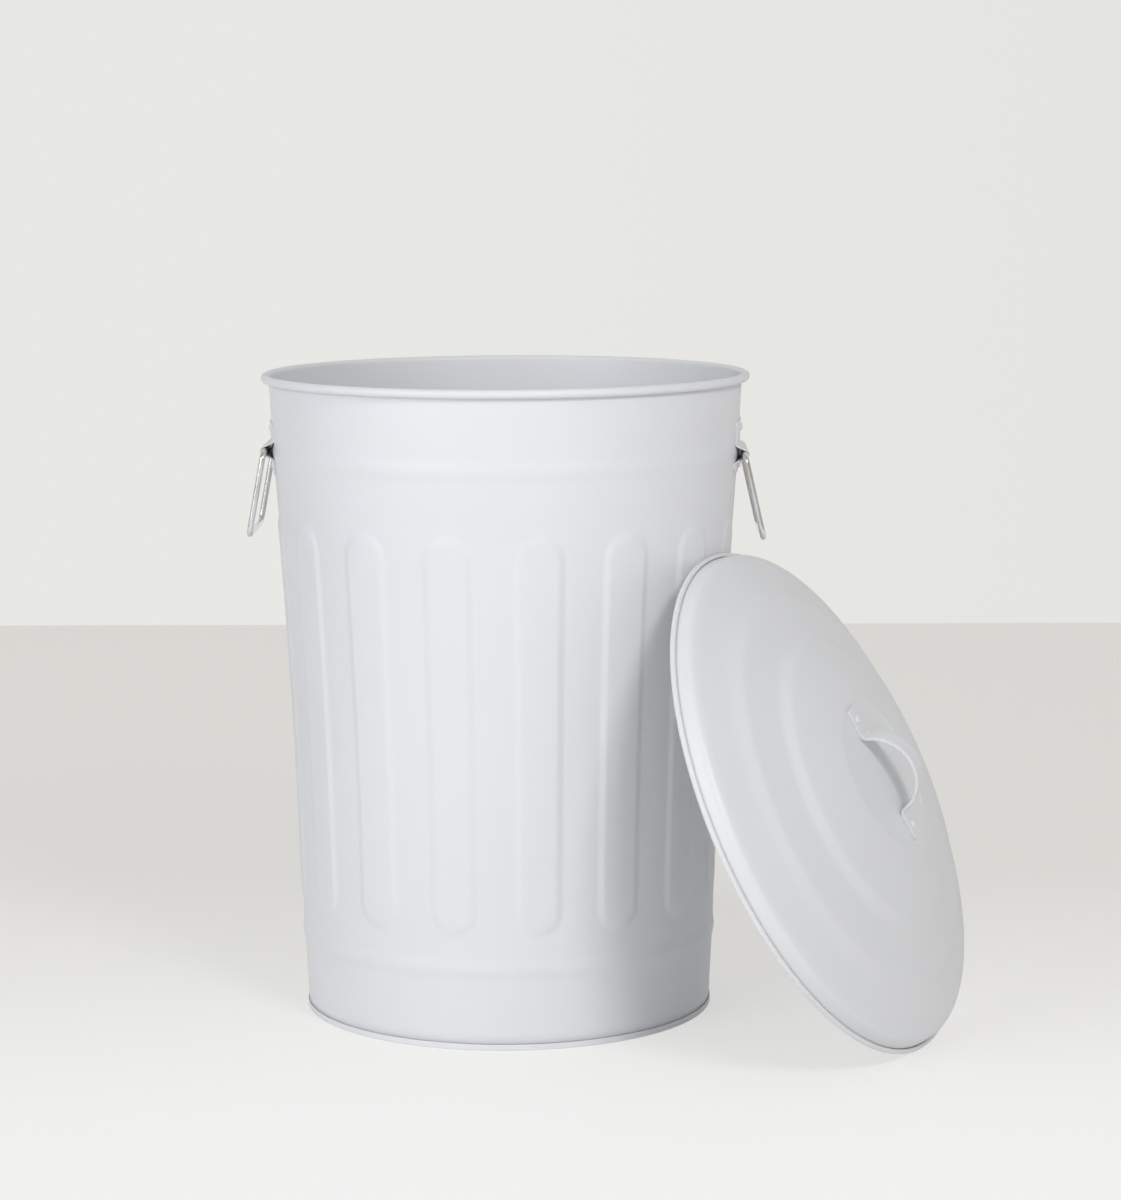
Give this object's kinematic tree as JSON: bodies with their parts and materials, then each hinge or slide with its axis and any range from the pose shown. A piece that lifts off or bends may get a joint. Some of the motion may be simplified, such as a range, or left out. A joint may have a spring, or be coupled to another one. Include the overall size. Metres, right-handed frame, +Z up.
{
  "type": "trash can with lid",
  "caption": "Round tapered sheet-metal trash can with raised flutes, rolled rim, two wire bail handles, and a stepped dome lid leaning against it.",
  "frame": {"origin": "centre of the can's foot on the floor, on the can's axis", "axes": "+Z up along the can's axis, -Y front, +X towards the bail beside the leaning lid"},
  "size_m": [0.6037, 0.5276, 0.54],
  "materials": {
    "can_paint": "satin light grey powder coat",
    "lid_paint": "satin light grey powder coat",
    "plated_wire": "bright zinc-plated wire"
  },
  "bodies": {
    "can": {"body_wall": "can_paint", "base_pan": "can_paint", "bracket_left": "can_paint", "bracket_right": "can_paint", "bracket_rivets_left": "can_paint", "bracket_rivets_right": "can_paint"},
    "lid": {"lid_shell": "lid_paint", "lid_handle": "lid_paint", "lid_rivets": "lid_paint"},
    "bail_left": {"bail_left": "plated_wire"},
    "bail_right": {"bail_right": "plated_wire"}
  },
  "joints": [
    {"name": "bail_right_hinge", "type": "hinge", "parent": "can", "child": "bail_right", "pos_m": [0.1998, 0, 0.473], "axis": [0, -1, 0], "range_deg": [-16, 155]},
    {"name": "bail_left_hinge", "type": "hinge", "parent": "can", "child": "bail_left", "pos_m": [-0.1998, 0, 0.4772], "axis": [0, 1, 0], "range_deg": [-14, 155]},
    {"name": "lid_lift", "type": "slide", "parent": "can", "child": "lid", "axis": [0.8244, -0.3696, 0.4286], "range_m": [0, 0.3]}
  ]
}
